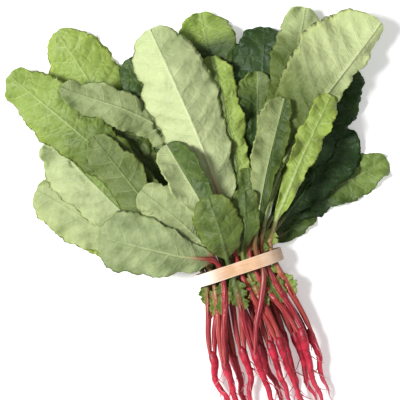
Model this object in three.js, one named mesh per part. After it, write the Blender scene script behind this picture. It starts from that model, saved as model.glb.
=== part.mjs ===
// A bunch of young red-rooted radishes, tied with one flat rubber band and laid on a table.
//
// Millimetres, +Z up. +Y runs from the root tails to the leaf tips, and +X is to the right
// for someone looking down with the leaves away from them. The origin is the middle of the
// flat spot under the band, so the table is the plane z = 0.
//
// Every radish is one root and the two to four leaves that grow from its crown. A leaf is
// one piece from the foot of its stalk to the tip of its blade. All stalks pass through the
// band in five layers, and the leaves are laid one on another in that order, lowest first.

import * as THREE from 'three';
import { mergeVertices } from 'three/addons/utils/BufferGeometryUtils.js';

// ---- Driving dimensions ------------------------------------------------------------------

const BAND_WIDTH = 8; // along Y
const BAND_THICKNESS = 1.2;
const BAND_HALF_FLAT = 17.5; // from the centre to where its round ends start
const BAND_END_RADIUS = 11.2; // outer radius of the round ends, half the band's height
const BAND_MARGIN = 1.5; // how far past the band its stalks stay straight
const BAND_END_SEGMENTS = 10; // flats round each quarter of the band's ends

const STALK_RADIUS = 1.5; // in the band
const STALK_FOOT_RADIUS = 1.1; // where the stalk leaves the crown
const TIP_RADIUS = 0.75; // of the midrib at the leaf's tip
const USUAL_BARE_STALK = 24; // from the band to where a blade starts
const USUAL_TAPER = 0.8;
const TIP_ROUNDNESS = 3.6; // the higher, the blunter the tip
const BLADE_OPENING = 0.35; // share of the blade over which it rolls and folds open
const BLADE_ROLL = 6; // degrees by which every blade lies left edge up
const LAYER_PITCH = 4; // from one layer of stalks to the next, in the band
const FIRST_LAYER = 3.2; // height of the lowest layer's stalks

const CROWN_RADIUS = 2.9;
const ROOT_RADIUS = 2.3;
const TAIL_RADIUS = 0.6;
const CROWN_HEIGHT = { bottom: 5, middle: 11, top: 17 };
const TAIL_HEIGHT = { bottom: 1.2, middle: 4.5, top: 8 };
const CROWN_GAP = 0.35; // between a crown and the stalks that sit on it
const NECK = { start: 0.02, end: 0.2 }; // shares of the root between its crown and its body
const ROOT_FULLNESS = 1.6; // how long the root stays thick on its way to the tail
const SEAT_SPREAD = 1.15; // from the middle of the crown to each stalk
const SEAT_SPREAD_PER_LEAF = 0.17; // and more for every leaf on it

const SIDES = 8; // corners of every stalk's, blade's and root's section
const STALK_STATIONS = 3; // sections from the crown to just before the band
const BLADE_STATIONS = 9; // sections along the blade
const ROOT_STATIONS = 8;
const LAST_SECTION = 0.98; // how far along a blade or root its last section is
const TIPWARD_CROWDING = 1.25; // above 1, the blade's sections crowd towards its tip
const CROWNWARD_CROWDING = 1.2; // above 1, the root's sections crowd towards its crown
const CURVE_STEPS = 400; // tried when a place along a curve is looked for

// How high the leaves of each layer hold themselves at the middle and the tip, before they
// are laid on the ones below.
const LAYER_REACH_HEIGHTS = [
  [1, 0],
  [7, 3],
  [15, 12],
  [24, 20],
  [29, 24],
];

const REST_CLEARANCE = 0.45; // between a leaf and the leaves it lies on
const CELL = 1.5; // of the grid that holds the height of what is already laid
const SAMPLE = 0.9; // spacing of the points that test a leaf against that grid
const MOST_SLOPE = 0.45; // how quickly the lift changes along a leaf
const STEEPEST = 0.9; // how steeply a stalk may be lifted where it leaves the band

// ---- The plants --------------------------------------------------------------------------
//
// crown: where the root meets its stalks, in plan. tail: the plan points of the root.
// A leaf's layer and slot say where its stalk passes the band. seat is its place round the
// crown in degrees, 0 to the right and 90 on top. via and tip are plan points of its midrib,
// half is the blade's half width and halfRight the right half's, where it is narrower. bare
// is the length of stalk past the band, and taper how slowly the blade widens from there.
// pile is the layer that the blade lies in, where it isn't the stalk's.
// left and right fold each half of the blade, up when positive.

const PLANTS = [
  {
    row: 'middle', crown: [-34, -49], tail: [[-37, -62], [-34, -80], [-38, -99]],
    leaves: [
      {
        layer: 3, order: 1, slot: -24, seat: 180, bare: 14,
        via: [-47, 36], tip: [-89, 116], half: 20, left: 8, right: 12,
      },
      {
        layer: 3, order: 2, slot: -17, seat: 0,
        via: [-46, 72], tip: [-100, 162], half: 18, left: -8, right: -6,
      },
    ],
  },
  {
    row: 'top', crown: [-28, -56], tail: [[-28, -68], [-29, -84], [-25, -104]],
    leaves: [
      {
        layer: 5, order: 3, slot: -13, seat: 90, bare: 4,
        via: [-31, 18], tip: [-78, 47], half: 19, left: -6, right: 10,
      },
      {
        layer: 4, order: 2, slot: -19, seat: 210, bare: 10,
        via: [-38, 46], tip: [-61, 107], half: 14, halfRight: 11, left: -4, right: 14,
      },
      {
        layer: 4, order: 3, slot: -13, seat: 330, bare: 6,
        via: [-20, 28], tip: [-43, 66], half: 13, left: 6, right: 12,
      },
    ],
  },
  {
    row: 'bottom', crown: [-22, -54], tail: [[-22, -66], [-24, -82], [-17, -100]],
    leaves: [
      {
        layer: 2, order: 1, slot: -21, seat: 150, bare: 14,
        via: [-52, 23], tip: [-87, 54], half: 13, left: -4, right: 4,
      },
      {
        layer: 2, order: 2, slot: -15, seat: 30,
        via: [-54, 30], tip: [-108, 88], half: 17, left: 6, right: 8,
      },
      {
        layer: 1, order: 1, slot: -16, seat: 270,
        via: [-46, 46], tip: [-82, 98], half: 17, left: 4, right: 6,
      },
    ],
  },
  {
    row: 'middle', crown: [-15, -52], tail: [[-15, -66], [-20, -82], [-21, -102]],
    leaves: [
      {
        layer: 3, order: 4, slot: -10, seat: 180,
        via: [-16, 92], tip: [-71, 143], half: 11, left: 10, right: -10,
      },
      {
        layer: 3, order: 3, slot: -3, seat: 0,
        via: [-12, 78], tip: [-25, 148], half: 14, left: 6, right: 6,
      },
    ],
  },
  {
    row: 'top', crown: [-8, -55], tail: [[-8, -68], [-7, -84], [-11, -108]],
    leaves: [
      {
        layer: 5, order: 5, slot: -6, seat: 210, bare: 3, taper: 0.5,
        via: [-5, 21], tip: [-5, 49], half: 14, left: -6, right: -8,
      },
      {
        layer: 4, order: 5, slot: -6, seat: 330, bare: 14,
        via: [-9, 40], tip: [-19, 88], half: 13, left: 26, right: 22,
      },
      {
        layer: 5, order: 2, slot: 13, seat: 90, bare: 18,
        via: [31, 46], tip: [60, 92], half: 12, halfRight: 8, left: 10, right: 16,
      },
    ],
  },
  {
    row: 'bottom', crown: [-3, -54], tail: [[-4, -66], [-1, -84], [-3, -106]],
    leaves: [
      {
        layer: 2, order: 3, slot: -8, seat: 150,
        via: [-36, 80], tip: [-63, 180], half: 21, left: -6, right: -4,
      },
      {
        layer: 1, order: 2, slot: -8, seat: 270,
        via: [-28, 66], tip: [-44, 128], half: 17, left: 5, right: 5,
      },
      {
        layer: 1, order: 3, slot: -1, seat: 30,
        via: [0, 70], tip: [6, 142], half: 17, left: 5, right: 5,
      },
    ],
  },
  {
    row: 'middle', crown: [3, -54], tail: [[3, -68], [3, -84], [5, -103]],
    leaves: [
      {
        layer: 3, order: 6, slot: 3, seat: 180, bare: 16,
        via: [17, 56], tip: [26, 133], half: 10, left: 12, right: -14,
      },
      {
        layer: 3, order: 5, slot: 9, seat: 0, bare: 20,
        via: [27, 50], tip: [50, 114], half: 14, left: 20, right: 12,
      },
    ],
  },
  {
    row: 'top', crown: [9, -53], tail: [[9, -66], [10, -84], [13, -111]],
    leaves: [
      {
        layer: 4, order: 4, slot: 0, seat: 180, bare: 16,
        via: [2, 64], tip: [-6, 160], half: 23, left: -8, right: -10,
      },
      {
        layer: 4, pile: 5, order: 4, slot: 4.5, seat: 0, bare: 5,
        via: [10, 21], tip: [18, 46], half: 9, left: -4, right: -6,
      },
    ],
  },
  {
    row: 'bottom', crown: [12.5, -50], tail: [[12, -64], [11, -80], [8, -98]],
    leaves: [
      {
        layer: 2, order: 4, slot: 4, seat: 150,
        via: [15, 62], tip: [28, 162], half: 20, left: 6, right: 6,
      },
      {
        layer: 2, order: 5, slot: 11, seat: 30,
        via: [35, 69], tip: [64, 140], half: 19, left: 5, right: 5,
      },
      {
        layer: 1, order: 4, slot: 7, seat: 270,
        via: [32, 64], tip: [50, 120], half: 16, left: 5, right: 5,
      },
    ],
  },
  {
    row: 'bottom', crown: [19.5, -53], tail: [[20, -66], [18, -82], [21, -103]],
    leaves: [
      {
        layer: 2, order: 7, slot: 16.5, seat: 135,
        via: [52, 44], tip: [109, 99], half: 16, left: 5, right: 5,
      },
      {
        layer: 2, order: 6, slot: 22, seat: 45,
        via: [54, 32], tip: [95, 62], half: 17, left: 5, right: 5,
      },
      {
        layer: 1, order: 6, slot: 13.5, seat: 225, bare: 14,
        via: [44, 22], tip: [112, 34], half: 12, left: 5, right: 5,
      },
      {
        layer: 1, order: 5, slot: 18.6, seat: 315, bare: 8,
        via: [35, 11], tip: [57, 21], half: 8, left: 4, right: 4,
      },
    ],
  },
  {
    row: 'top', crown: [24, -52], tail: [[23, -66], [22, -86], [25, -110]],
    leaves: [
      {
        layer: 4, order: 1, slot: 9, seat: 180, bare: 10,
        via: [17, 28], tip: [25, 58], half: 9, left: 8, right: 8,
      },
      {
        layer: 4, order: 6, slot: 17, seat: 0, bare: 16, taper: 1.05,
        via: [46, 54], tip: [133, 118], half: 33, halfRight: 7, left: 4, right: -24,
      },
    ],
  },
  {
    row: 'middle', crown: [29, -55], tail: [[30, -66], [28, -80], [29, -97]],
    leaves: [
      {
        layer: 3, order: 8, slot: 16, seat: 180,
        via: [49, 66], tip: [92, 143], half: 15, left: 8, right: 8,
      },
      {
        layer: 4, order: 8, slot: 23, seat: 0, bare: 18,
        via: [47, 41], tip: [88, 85], half: 8, left: 12, right: -10,
      },
    ],
  },
];

// ---- Materials ---------------------------------------------------------------------------

const LEAF = new THREE.MeshStandardMaterial({ color: 0x9dbd6e, roughness: 0.55, metalness: 0 });
const ROOT = new THREE.MeshStandardMaterial({ color: 0xc8365a, roughness: 0.4, metalness: 0 });
const RUBBER = new THREE.MeshStandardMaterial({ color: 0xedbf94, roughness: 0.6, metalness: 0 });

// ---- Sweeps ------------------------------------------------------------------------------

// Turns one capped cylinder into a sweep. rings[k] holds the corners of section k, from the
// left round by the top, and start and end are the points where the two caps close.
function sweep(rings, start, end) {
  const last = rings.length - 1;
  const turn = (2 * Math.PI) / SIDES;
  let geometry = new THREE.CylinderGeometry(1, 1, last, SIDES, last);
  geometry.deleteAttribute('normal');
  geometry.deleteAttribute('uv');
  geometry = mergeVertices(geometry);
  const position = geometry.attributes.position;
  for (let i = 0; i < position.count; i++) {
    const station = Math.round(position.getY(i) + last / 2);
    const offAxis = Math.hypot(position.getX(i), position.getZ(i)) > 0.5;
    const angle = Math.atan2(position.getX(i), position.getZ(i));
    const corner = Math.round(angle / turn + SIDES) % SIDES;
    const cap = station === 0 ? start : end;
    const point = offAxis ? rings[station][corner] : cap;
    position.setXYZ(i, point.x, point.y, point.z);
  }
  return geometry;
}

// The directions of a section: along the curve, to its left and up, turned by roll.
function sectionFrame(curve, at, roll = 0) {
  const along = curve.getTangentAt(at);
  const left = new THREE.Vector3(0, 0, 1).cross(along).normalize();
  const up = along.clone().cross(left);
  left.applyAxisAngle(along, -roll);
  up.applyAxisAngle(along, -roll);
  return { along, left, up, centre: curve.getPointAt(at) };
}

function placeCorner(frame, toLeft, upward) {
  return frame.centre.clone().addScaledVector(frame.left, toLeft).addScaledVector(frame.up, upward);
}

function roundSection(frame, radius) {
  const corners = [];
  for (let i = 0; i < SIDES; i++) {
    const angle = ((i + 0.5) * 2 * Math.PI) / SIDES;
    corners.push(placeCorner(frame, radius * Math.cos(angle), radius * Math.sin(angle)));
  }
  return corners;
}

// A leaf's section is its midrib with a thin wing on each side, which may fold up or down.
function bladeSection(frame, radius, left, right) {
  const side = radius * Math.cos(Math.PI / SIDES);
  const edge = radius * Math.sin(Math.PI / SIDES);
  const margin = (wing, sign, upward) => {
    const reach = wing.width * Math.cos(wing.fold) - upward * edge * Math.sin(wing.fold);
    const height = wing.width * Math.sin(wing.fold) + upward * edge * Math.cos(wing.fold);
    return placeCorner(frame, sign * (side + reach), height);
  };
  return [
    margin(left, 1, 1),
    placeCorner(frame, edge, side),
    placeCorner(frame, -edge, side),
    margin(right, -1, 1),
    margin(right, -1, -1),
    placeCorner(frame, -edge, -side),
    placeCorner(frame, edge, -side),
    margin(left, 1, -1),
  ];
}

// ---- Leaves ------------------------------------------------------------------------------

const radians = THREE.MathUtils.degToRad;
const smooth = THREE.MathUtils.smoothstep;

// How wide the blade is along its length, from 0 at its base to 1 at its widest. A low taper
// widens it early, and its tip is round.
function bladeShape(s, taper) {
  const width = (t) => Math.pow(t, taper) * Math.sqrt(1 - Math.pow(t, TIP_ROUNDNESS));
  const widest = Math.pow(taper / (taper + TIP_ROUNDNESS / 2), 1 / TIP_ROUNDNESS);
  return width(s) / width(widest);
}

// Where a stalk's foot sits on its crown.
function seatPoint(plant, leaf) {
  const spread = SEAT_SPREAD + SEAT_SPREAD_PER_LEAF * plant.leaves.length;
  const angle = radians(leaf.seat);
  return new THREE.Vector3(
    plant.crown[0] + spread * Math.cos(angle),
    plant.crown[1] + CROWN_GAP,
    CROWN_HEIGHT[plant.row] + spread * Math.sin(angle),
  );
}

function leafCurve(plant, leaf) {
  const layerHeight = FIRST_LAYER + (leaf.layer - 1) * LAYER_PITCH;
  const [viaHeight, tipHeight] = LAYER_REACH_HEIGHTS[leaf.layer - 1];
  const foot = seatPoint(plant, leaf);
  const enter = new THREE.Vector3(leaf.slot, -BAND_WIDTH, layerHeight);
  const leave = new THREE.Vector3(leaf.slot, BAND_WIDTH, layerHeight);
  const straightUp = foot.clone().add(new THREE.Vector3(0, BAND_WIDTH / 2, 0));
  return new THREE.CatmullRomCurve3([
    foot,
    straightUp,
    enter,
    leave,
    new THREE.Vector3(leaf.via[0], leaf.via[1], viaHeight),
    new THREE.Vector3(leaf.tip[0], leaf.tip[1], tipHeight),
  ], false, 'centripetal');
}

// Where along the curve it reaches a given Y for the first time.
function fractionAtY(curve, y) {
  for (let i = 0; i <= CURVE_STEPS; i++) {
    if (curve.getPointAt(i / CURVE_STEPS).y >= y) return i / CURVE_STEPS;
  }
  return 1;
}

function leafRings(plant, leaf) {
  const curve = leafCurve(plant, leaf);
  const length = curve.getLength();
  const beforeBand = fractionAtY(curve, -BAND_WIDTH / 2 - BAND_MARGIN);
  const afterBand = fractionAtY(curve, BAND_WIDTH / 2 + BAND_MARGIN);
  const bladeStart = afterBand + (leaf.bare ?? USUAL_BARE_STALK) / length;
  const rings = [];
  const lengths = [];
  const addStalkSection = (at) => {
    const swollen = smooth(at, 0, beforeBand);
    const radius = THREE.MathUtils.lerp(STALK_FOOT_RADIUS, STALK_RADIUS, swollen);
    rings.push(roundSection(sectionFrame(curve, at), radius));
    lengths.push((at - afterBand) * length);
  };
  for (let i = 0; i < STALK_STATIONS; i++) addStalkSection((beforeBand * i) / STALK_STATIONS);
  addStalkSection(beforeBand);
  addStalkSection(afterBand);
  for (let i = 0; i < BLADE_STATIONS; i++) {
    const s = LAST_SECTION * (1 - Math.pow(1 - i / (BLADE_STATIONS - 1), TIPWARD_CROWDING));
    const at = bladeStart + s * (1 - bladeStart);
    const open = smooth(s, 0, BLADE_OPENING);
    const frame = sectionFrame(curve, at, radians(BLADE_ROLL) * open);
    const radius = THREE.MathUtils.lerp(STALK_RADIUS, TIP_RADIUS, s);
    const width = bladeShape(s, leaf.taper ?? USUAL_TAPER);
    const left = { width: width * leaf.half, fold: radians(leaf.left) * open };
    const halfRight = leaf.halfRight ?? leaf.half;
    const right = { width: width * halfRight, fold: radians(leaf.right) * open };
    rings.push(bladeSection(frame, radius, left, right));
    lengths.push((at - afterBand) * length);
  }
  return { rings, lengths, start: curve.getPointAt(0), end: curve.getPointAt(1) };
}

// ---- Laying one leaf on another ----------------------------------------------------------

// Calls visit for points spread over the triangle a, b, c.
function samplePoints(a, b, c, visit) {
  const longest = Math.max(a.distanceTo(b), b.distanceTo(c), c.distanceTo(a));
  const steps = Math.max(1, Math.ceil(longest / SAMPLE));
  const point = new THREE.Vector3();
  for (let i = 0; i <= steps; i++) {
    for (let j = 0; j <= steps - i; j++) {
      const u = i / steps;
      const v = j / steps;
      point.set(0, 0, 0).addScaledVector(a, 1 - u - v).addScaledVector(b, u).addScaledVector(c, v);
      visit(point);
    }
  }
}

// Calls visit with every sample point of a sweep and the two stations it lies between.
function sampleSweep(leaf, visit) {
  const last = leaf.rings.length - 1;
  for (let k = 0; k < last; k++) {
    for (let i = 0; i < SIDES; i++) {
      const next = (i + 1) % SIDES;
      const [here, beside] = [leaf.rings[k][i], leaf.rings[k][next]];
      const [ahead, opposite] = [leaf.rings[k + 1][i], leaf.rings[k + 1][next]];
      const mark = (point) => visit(point, k, k + 1);
      samplePoints(here, beside, ahead, mark);
      samplePoints(beside, opposite, ahead, mark);
    }
  }
  const markEnd = (point) => visit(point, last, last);
  for (let i = 0; i < SIDES; i++) {
    const next = (i + 1) % SIDES;
    samplePoints(leaf.rings[last][i], leaf.rings[last][next], leaf.end, markEnd);
  }
}

const cellKey = (point) => `${Math.floor(point.x / CELL)},${Math.floor(point.y / CELL)}`;

// Lifts a leaf's sections just enough for it to lie on the table and on what is laid already.
function layDown(leaf, heights) {
  const lifts = leaf.rings.map(() => 0);
  sampleSweep(leaf, (point, from, to) => {
    const below = heights.get(cellKey(point));
    const floor = below === undefined ? 0 : below + REST_CLEARANCE;
    lifts[from] = Math.max(lifts[from], floor - point.z);
    lifts[to] = Math.max(lifts[to], floor - point.z);
  });
  const lengths = leaf.lengths;
  const eased = lengths.map((length, k) => {
    if (length <= 0) return 0;
    const wanted = lifts.map((lift, j) => (
      lengths[j] <= 0 ? 0 : lift - MOST_SLOPE * Math.abs(length - lengths[j])
    ));
    return Math.min(Math.max(...wanted), STEEPEST * length);
  });
  leaf.rings.forEach((ring, k) => {
    for (const corner of ring) corner.z += eased[k];
  });
  leaf.end.z += eased[eased.length - 1];
  sampleSweep(leaf, (point) => {
    const key = cellKey(point);
    heights.set(key, Math.max(heights.get(key) ?? 0, point.z));
  });
}

// ---- Roots -------------------------------------------------------------------------------

function rootGeometry(plant) {
  const crown = new THREE.Vector3(plant.crown[0], plant.crown[1], CROWN_HEIGHT[plant.row]);
  const points = [crown, crown.clone().add(new THREE.Vector3(0, -CROWN_RADIUS, 0))];
  plant.tail.forEach(([x, y], i) => {
    const down = (i + 1) / plant.tail.length;
    const height = THREE.MathUtils.lerp(CROWN_HEIGHT[plant.row], TAIL_HEIGHT[plant.row], down);
    points.push(new THREE.Vector3(x, y, height));
  });
  const curve = new THREE.CatmullRomCurve3(points, false, 'centripetal');
  const rings = [];
  for (let i = 0; i <= ROOT_STATIONS; i++) {
    const at = LAST_SECTION * Math.pow(i / ROOT_STATIONS, CROWNWARD_CROWDING);
    const necked = smooth(at, NECK.start, NECK.end);
    const thick = THREE.MathUtils.lerp(CROWN_RADIUS, ROOT_RADIUS, necked);
    const radius = THREE.MathUtils.lerp(thick, TAIL_RADIUS, Math.pow(at, ROOT_FULLNESS));
    rings.push(roundSection(sectionFrame(curve, at), radius));
  }
  return sweep(rings, crown, curve.getPointAt(1));
}

// ---- The band ----------------------------------------------------------------------------

function bandOutline(outline, radius) {
  const quarter = Math.PI / 2;
  outline.moveTo(-BAND_HALF_FLAT, -radius);
  outline.lineTo(BAND_HALF_FLAT, -radius);
  outline.absarc(BAND_HALF_FLAT, 0, radius, -quarter, quarter, false);
  outline.lineTo(-BAND_HALF_FLAT, radius);
  outline.absarc(-BAND_HALF_FLAT, 0, radius, quarter, 3 * quarter, false);
  return outline;
}

function bandMesh() {
  const shape = bandOutline(new THREE.Shape(), BAND_END_RADIUS);
  shape.holes.push(bandOutline(new THREE.Path(), BAND_END_RADIUS - BAND_THICKNESS));
  const geometry = new THREE.ExtrudeGeometry(shape, {
    depth: BAND_WIDTH,
    bevelEnabled: false,
    curveSegments: BAND_END_SEGMENTS,
  });
  const band = new THREE.Mesh(geometry, RUBBER);
  band.name = 'rubber_band';
  band.rotation.x = Math.PI / 2;
  band.position.set(0, BAND_WIDTH / 2, BAND_END_RADIUS);
  return band;
}

// ---- The bunch ---------------------------------------------------------------------------

const twoDigits = (n) => String(n).padStart(2, '0');

function buildBunch() {
  const bunch = new THREE.Group();
  bunch.add(bandMesh());
  const laid = [];
  PLANTS.forEach((plant, p) => {
    const root = new THREE.Mesh(rootGeometry(plant), ROOT);
    root.name = `radish_${twoDigits(p + 1)}_root`;
    bunch.add(root);
    plant.leaves.forEach((leaf, i) => {
      laid.push({
        name: `radish_${twoDigits(p + 1)}_leaf_${i + 1}`,
        layer: leaf.pile ?? leaf.layer,
        order: leaf.order,
        ...leafRings(plant, leaf),
      });
    });
  });
  laid.sort((a, b) => a.layer - b.layer || a.order - b.order);
  const heights = new Map();
  for (const leaf of laid) {
    layDown(leaf, heights);
    const mesh = new THREE.Mesh(sweep(leaf.rings, leaf.start, leaf.end), LEAF);
    mesh.name = leaf.name;
    bunch.add(mesh);
  }
  return bunch;
}

export default buildBunch();
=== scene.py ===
import math

import bpy
import numpy as np
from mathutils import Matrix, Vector


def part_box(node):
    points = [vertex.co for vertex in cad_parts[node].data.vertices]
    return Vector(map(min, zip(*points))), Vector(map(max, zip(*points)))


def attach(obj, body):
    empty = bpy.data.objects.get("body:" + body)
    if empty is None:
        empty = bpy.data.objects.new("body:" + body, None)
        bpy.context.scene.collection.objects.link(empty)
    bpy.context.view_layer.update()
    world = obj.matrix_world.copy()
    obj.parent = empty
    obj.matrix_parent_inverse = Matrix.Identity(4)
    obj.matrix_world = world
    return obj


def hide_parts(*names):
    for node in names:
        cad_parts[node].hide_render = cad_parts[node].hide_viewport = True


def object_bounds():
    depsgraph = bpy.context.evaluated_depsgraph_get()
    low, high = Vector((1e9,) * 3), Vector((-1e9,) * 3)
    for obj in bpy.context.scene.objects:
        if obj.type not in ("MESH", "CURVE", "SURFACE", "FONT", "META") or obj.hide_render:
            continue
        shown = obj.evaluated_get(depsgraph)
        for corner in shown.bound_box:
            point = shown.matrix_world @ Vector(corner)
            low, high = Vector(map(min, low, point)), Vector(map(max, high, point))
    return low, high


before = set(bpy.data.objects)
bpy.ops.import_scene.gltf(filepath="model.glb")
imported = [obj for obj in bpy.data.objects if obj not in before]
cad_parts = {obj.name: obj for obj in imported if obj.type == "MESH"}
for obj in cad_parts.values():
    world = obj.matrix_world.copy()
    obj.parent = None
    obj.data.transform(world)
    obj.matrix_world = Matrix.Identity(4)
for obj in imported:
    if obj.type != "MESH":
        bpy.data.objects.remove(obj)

# A bunch of young radishes with its leaves, tied with a rubber band and lying on a pale table.
# Every leaf and root is rebuilt finely along the sections of its own CAD solid.
# Lengths are in mm until build_mesh makes metres of them.

MM = 0.001
MM_PER_CM = 10  # the materials measure leaves and band in cm
CAD_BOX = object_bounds()
SIDES = ("left", "right")

# ---- How each leaf looks -----------------------------------------------------------------
#
# The leaves are listed from the top of the pile down.
# face: the side that is up. right_face: the same for a right half that is folded over.
# tone_and_painted_light: how bright, about -1 to 1, partly the leaf's own green and partly painted
# light and shade. right_painted_light: how much brighter the right half is painted, darker below 0.
# tip_painted_light: how much brighter the tip is painted, from tip_from of the leaf's length on.
# yellow: 0 to 1. ruffle: how strong the waves along the margins are. curl: how strongly the
# wings bend down, or up below 0.
# red: how red the stalk still is where it leaves the band, 0 to 1. red_reach: how far past
# the band the last red goes, in mm. lobes: how many small leafy lobes the stalk carries.

LEAF_LOOKS = {
    "radish_05_leaf_1": dict(
        face="upper", tone_and_painted_light=-0.5, yellow=0.3, ruffle=1.2, curl=0.3, red=0.1, lobes=7
    ),
    "radish_08_leaf_2": dict(
        face="upper", tone_and_painted_light=-0.75, yellow=0.3, ruffle=1.6, curl=0.1, red=0.2, lobes=7
    ),
    "radish_02_leaf_1": dict(
        face="under", tone_and_painted_light=-0.3, yellow=0.0, ruffle=1.4, curl=0.3, red=0.9, lobes=4
    ),
    "radish_05_leaf_3": dict(
        face="under", right_face="upper", tone_and_painted_light=-0.4, right_painted_light=-0.7, yellow=0.3, ruffle=2.6,
        curl=-0.3, red=0.5,
    ),
    "radish_12_leaf_2": dict(
        face="upper", tone_and_painted_light=0.95, yellow=0.55, ruffle=3.2, curl=-0.5, red=0.5, lobes=6
    ),
    "radish_11_leaf_2": dict(
        face="under", tone_and_painted_light=-1.3, tip_painted_light=2.3, tip_from=0.6, yellow=0.3, ruffle=2.0, curl=-0.1,
        red=0.6, lobes=6,
    ),
    "radish_05_leaf_2": dict(
        face="under", right_face="upper", tone_and_painted_light=0.0, right_painted_light=-0.6, yellow=0.1, ruffle=1.0,
        curl=-0.4, red=0.4,
    ),
    "radish_08_leaf_1": dict(
        face="under", tone_and_painted_light=0.45, right_painted_light=-0.35, yellow=0.05, ruffle=2.0, curl=0.35, red=0.9,
        red_reach=105, lobes=3,
    ),
    "radish_02_leaf_3": dict(
        face="under", tone_and_painted_light=-0.2, yellow=0.15, ruffle=1.6, curl=0.2, red=0.4, lobes=4
    ),
    "radish_02_leaf_2": dict(
        face="under", tone_and_painted_light=-0.85, yellow=0.2, ruffle=1.6, curl=0.4, red=0.4, lobes=4
    ),
    "radish_11_leaf_1": dict(
        face="upper", tone_and_painted_light=-0.3, yellow=0.1, ruffle=1.0, curl=0.1, red=0.7, lobes=6
    ),
    "radish_12_leaf_1": dict(
        face="under", tone_and_painted_light=-1.4, tip_painted_light=1.65, tip_from=0.78, yellow=0.2, ruffle=3.0,
        curl=0.3, red=0.5, lobes=4,
    ),
    "radish_07_leaf_1": dict(
        face="upper", tone_and_painted_light=-0.5, right_painted_light=1.8, yellow=0.35, ruffle=3.0, curl=-0.2, red=0.3,
        lobes=4,
    ),
    "radish_07_leaf_2": dict(
        face="upper", right_face="under", tone_and_painted_light=-1.5, right_painted_light=-0.45, tip_painted_light=1.3,
        tip_from=0.75, yellow=0.1, ruffle=1.6, curl=-0.2, red=0.4,
    ),
    "radish_04_leaf_1": dict(face="under", tone_and_painted_light=-0.4, yellow=0.1, ruffle=2.0, curl=0.3, red=0.4),
    "radish_04_leaf_2": dict(face="upper", tone_and_painted_light=-0.7, yellow=0.0, ruffle=1.4, curl=0.2, red=0.4),
    "radish_01_leaf_2": dict(
        face="upper", tone_and_painted_light=-1.0, tip_painted_light=1.4, tip_from=0.55, yellow=0.25, ruffle=2.0,
        curl=0.2, red=0.3,
    ),
    "radish_01_leaf_1": dict(
        face="under", right_face="upper", tone_and_painted_light=0.05, yellow=0.1, ruffle=1.8, curl=0.3, red=0.3,
        lobes=7,
    ),
    "radish_10_leaf_1": dict(face="upper", tone_and_painted_light=-1.0, yellow=0.0, ruffle=2.8, curl=0.2, red=0.5),
    "radish_10_leaf_2": dict(face="upper", tone_and_painted_light=-1.0, yellow=0.0, ruffle=2.4, curl=0.2, red=0.5),
    "radish_09_leaf_2": dict(face="upper", tone_and_painted_light=-0.9, yellow=0.0, ruffle=2.0, curl=0.1, red=0.4),
    "radish_09_leaf_1": dict(
        face="upper", tone_and_painted_light=-1.2, tip_painted_light=3.0, tip_from=0.86, yellow=0.2, ruffle=3.2, curl=0.1,
        red=0.4,
    ),
    "radish_06_leaf_1": dict(
        face="upper", tone_and_painted_light=-0.9, tip_painted_light=1.6, tip_from=0.6, yellow=0.45, ruffle=1.8, curl=0.3,
        red=0.3,
    ),
    "radish_03_leaf_2": dict(face="under", tone_and_painted_light=-0.05, yellow=0.3, ruffle=2.4, curl=0.2, red=0.5),
    "radish_03_leaf_1": dict(
        face="upper", tone_and_painted_light=0.4, yellow=0.7, ruffle=1.6, curl=0.2, red=0.5, lobes=6
    ),
    "radish_10_leaf_3": dict(
        face="upper", tone_and_painted_light=-0.9, tip_painted_light=1.0, yellow=0.0, ruffle=2.8, curl=0.2, red=0.5
    ),
    "radish_10_leaf_4": dict(face="upper", tone_and_painted_light=-0.7, yellow=0.1, ruffle=2.0, curl=0.1, red=0.5),
    "radish_09_leaf_3": dict(face="upper", tone_and_painted_light=-0.8, yellow=0.0, ruffle=1.2, curl=0.1, red=0.4),
    "radish_06_leaf_3": dict(face="upper", tone_and_painted_light=-0.8, yellow=0.0, ruffle=1.2, curl=0.1, red=0.4),
    "radish_06_leaf_2": dict(face="upper", tone_and_painted_light=-0.8, yellow=0.0, ruffle=1.2, curl=0.1, red=0.4),
    "radish_03_leaf_3": dict(face="upper", tone_and_painted_light=-0.5, yellow=0.1, ruffle=1.2, curl=0.1, red=0.4),
}

# ---- Reading the CAD sections ------------------------------------------------------------

CORNERS = 8  # of every section of a CAD leaf or root
MARGIN_CORNERS = 2  # of them, at each margin of a leaf. The others are round its midrib


def welded(node):
    """The node's corners in mm with no two alike, and its triangles as indices into them."""
    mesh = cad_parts[node].data
    corners = np.empty(len(mesh.vertices) * 3, np.float32)
    mesh.vertices.foreach_get("co", corners)
    corners = np.round(corners.reshape(-1, 3).astype(float) / MM, 3)
    points, index = np.unique(corners, axis=0, return_inverse=True)
    index = index.ravel()
    triangles = [[int(index[v]) for v in face.vertices] for face in mesh.polygons]
    return points, triangles


def corner_net(node):
    """The node's corners, the neighbours of each and the two corners that cap its ends."""
    points, triangles = welded(node)
    around = [set() for _ in points]
    for triangle in triangles:
        for corner in triangle:
            around[corner].update(triangle)
    caps = [i for i, near in enumerate(around) if len(near) == CORNERS + 1]
    return points, around, caps


def rings_from(points, around, start):
    """Peels the sections off, one after another, from the cap corner start."""
    rings, seen, now = [], {start}, {start}
    while True:
        now = set().union(*(around[i] for i in now)) - seen
        if not now:
            break
        seen |= now
        rings.append(points[sorted(now)])
    return rings


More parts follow.
